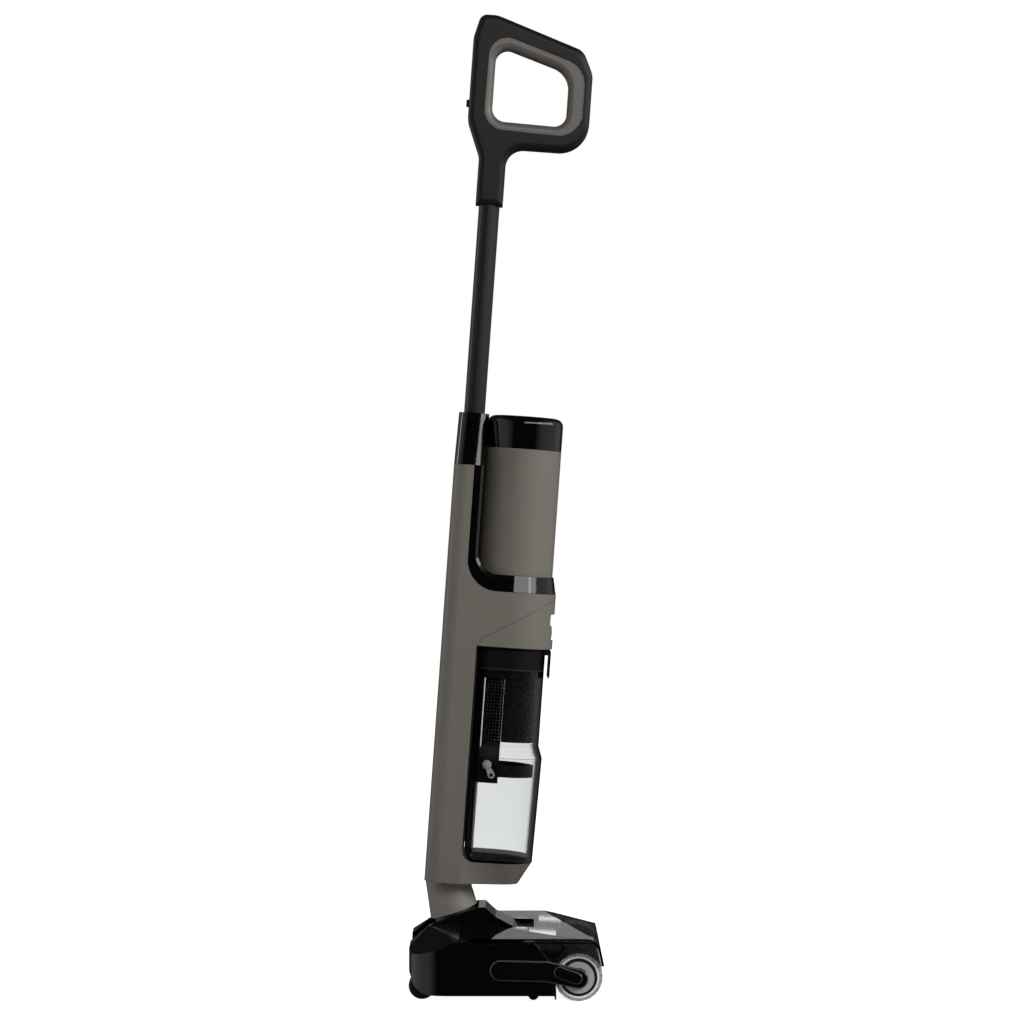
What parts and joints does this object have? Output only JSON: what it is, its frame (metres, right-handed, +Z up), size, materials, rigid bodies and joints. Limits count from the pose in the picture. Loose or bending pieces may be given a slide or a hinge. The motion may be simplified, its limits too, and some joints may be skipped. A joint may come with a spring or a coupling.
{
  "type": "wet dry floor scrubber",
  "caption": "Upright cordless floor washer: roller head with smoked cover, leaning body with clean water cylinder and clear dirty water tank, slim wand and closed loop handle.",
  "frame": {"origin": "on the floor, centre of the bounding box from above", "axes": "+X forwards to the brush roll, +Y to the machine's left, +Z up"},
  "size_m": [0.218, 0.2666, 1.1149],
  "materials": {
    "grey_shell": "warm grey moulded plastic, satin",
    "black_shell": "black moulded plastic, satin",
    "gloss_black": "piano black moulded plastic, polished",
    "clear_tub": "clear plastic, polished",
    "smoked_cover": "smoke-tinted clear plastic, polished",
    "wand": "aluminium tube painted charcoal, satin",
    "light_plastic": "light grey moulded plastic",
    "pile": "short light grey pile with darker flecks",
    "pleated_filter": "pleated filter paper",
    "black_rubber": "black rubber, matt",
    "steel": "bright steel",
    "motor_case": "plated motor case",
    "cell": "sleeved cells",
    "board": "green circuit board"
  },
  "bodies": {
    "head": {"head_base": "black_shell", "head_top": "gloss_black", "head_screws": "steel", "nozzle_duct": "black_shell", "spray_bar": "black_shell", "spray_hose": "black_rubber", "squeegee": "black_rubber", "brush_motor": "motor_case", "drive_belt": "black_rubber", "belt_cover": "black_shell", "wheel_axles": "steel"},
    "neck": {"neck": "grey_shell", "neck_yoke": "black_shell", "pivot_pins": "steel", "swivel_ring": "steel"},
    "main_body": {"body_shell_left": "grey_shell", "body_shell_right": "grey_shell", "body_screws": "steel", "motor_cover": "grey_shell", "cradle_liner": "gloss_black", "fan_housing": "black_shell", "fan_motor": "motor_case", "battery_tray": "black_shell", "battery_cells": "cell", "water_pump": "motor_case", "water_hose": "black_rubber", "control_board": "board", "suction_duct": "black_shell", "swivel_bush": "black_shell", "handle_shell_left": "black_shell", "handle_shell_right": "black_shell", "handle_screws": "steel", "handle_ring": "grey_shell", "switch_board": "board", "wand_tube": "wand", "wand_wiring": "black_rubber"},
    "power_button": {"power_button": "black_shell"},
    "release_button": {"release_button": "gloss_black"},
    "clean_tank": {"clean_tank": "grey_shell", "tank_valve": "black_shell"},
    "tank_cap": {"tank_cap": "gloss_black", "cap_seal": "black_rubber"},
    "dirty_tank": {"dirty_tank": "clear_tub", "lid_seal": "black_rubber", "tank_lid": "black_shell", "filter_ring": "pleated_filter", "strainer": "black_shell"},
    "float_arm": {"float_arm": "black_shell"},
    "impeller": {"impeller": "black_shell"},
    "roll_arm": {"roll_arm": "black_shell"},
    "brush_roll": {"roll_core": "black_shell", "roll_end_cap": "light_plastic", "roll_pile": "pile"},
    "drive_hub": {"drive_hub": "black_shell"},
    "motor_pulley": {"motor_pulley": "black_shell"},
    "rear_wheel_left": {"rear_wheel_left": "black_rubber"},
    "rear_wheel_right": {"rear_wheel_right": "black_rubber"},
    "roller_left": {"roller_left": "black_rubber"},
    "roller_right": {"roller_right": "black_rubber"},
    "clear_cover": {"clear_cover": "smoked_cover"}
  },
  "joints": [
    {"name": "recline", "type": "hinge", "parent": "head", "child": "neck", "pos_m": [-0.046, 0, 0.045], "axis": [0, -1, 0], "range_deg": [0, 65]},
    {"name": "swivel", "type": "hinge", "parent": "neck", "child": "main_body", "pos_m": [-0.06743, 0, 0.12373], "axis": [0.0715, 0, 0.9974], "range_deg": [-30, 30]},
    {"name": "power_press", "type": "slide", "parent": "main_body", "child": "power_button", "axis": [0.9974, 0, -0.0715], "range_m": [0, 0.0015], "stiffness_N_per_m": 400},
    {"name": "release_press", "type": "slide", "parent": "main_body", "child": "release_button", "axis": [-0.0715, 0, -0.9974], "range_m": [0, 0.003], "stiffness_N_per_m": 400},
    {"name": "clean_tank_lift", "type": "slide", "parent": "main_body", "child": "clean_tank", "axis": [0.0715, 0, 0.9974], "range_m": [0, 0.19]},
    {"name": "cap_lift", "type": "slide", "parent": "clean_tank", "child": "tank_cap", "axis": [0.0715, 0, 0.9974], "range_m": [0, 0.05]},
    {"name": "dirty_tank_draw", "type": "slide", "parent": "main_body", "child": "dirty_tank", "axis": [0.9974, 0, -0.0715], "range_m": [0, 0.11]},
    {"name": "float_swing", "type": "hinge", "parent": "dirty_tank", "child": "float_arm", "pos_m": [-0.01709, -0.036, 0.24545], "axis": [0, 1, 0], "range_deg": [0, 22]},
    {"name": "impeller_spin", "type": "hinge", "parent": "main_body", "child": "impeller", "pos_m": [-0.00031, 0, 0.40265], "axis": [0.0715, 0, 0.9974], "continuous": true},
    {"name": "roll_draw", "type": "slide", "parent": "head", "child": "roll_arm", "axis": [0, -1, 0], "range_m": [0, 0.27]},
    {"name": "roll_spin", "type": "hinge", "parent": "roll_arm", "child": "brush_roll", "pos_m": [0.0805, 0, 0.0275], "axis": [0, 1, 0], "continuous": true},
    {"name": "hub_spin", "type": "hinge", "parent": "head", "child": "drive_hub", "pos_m": [0.0805, 0.11, 0.0275], "axis": [0, 1, 0], "continuous": true},
    {"name": "pulley_spin", "type": "hinge", "parent": "head", "child": "motor_pulley", "pos_m": [0.005, 0.11, 0.028], "axis": [0, 1, 0], "continuous": true},
    {"name": "rear_wheel_left_spin", "type": "hinge", "parent": "head", "child": "rear_wheel_left", "pos_m": [-0.094, 0.091, 0.015], "axis": [0, 1, 0], "continuous": true},
    {"name": "rear_wheel_right_spin", "type": "hinge", "parent": "head", "child": "rear_wheel_right", "pos_m": [-0.094, -0.091, 0.015], "axis": [0, 1, 0], "continuous": true},
    {"name": "roller_left_spin", "type": "hinge", "parent": "head", "child": "roller_left", "pos_m": [0.0305, 0.096, 0.006], "axis": [0, 1, 0], "continuous": true},
    {"name": "roller_right_spin", "type": "hinge", "parent": "head", "child": "roller_right", "pos_m": [0.0305, -0.096, 0.006], "axis": [0, 1, 0], "continuous": true},
    {"name": "cover_lift", "type": "slide", "parent": "head", "child": "clear_cover", "axis": [0.7071, 0, 0.7071], "range_m": [0, 0.055]}
  ],
  "couplings": [
    {"joint": "hub_spin", "follows": "roll_spin", "ratio": 1},
    {"joint": "pulley_spin", "follows": "roll_spin", "ratio": 2}
  ]
}
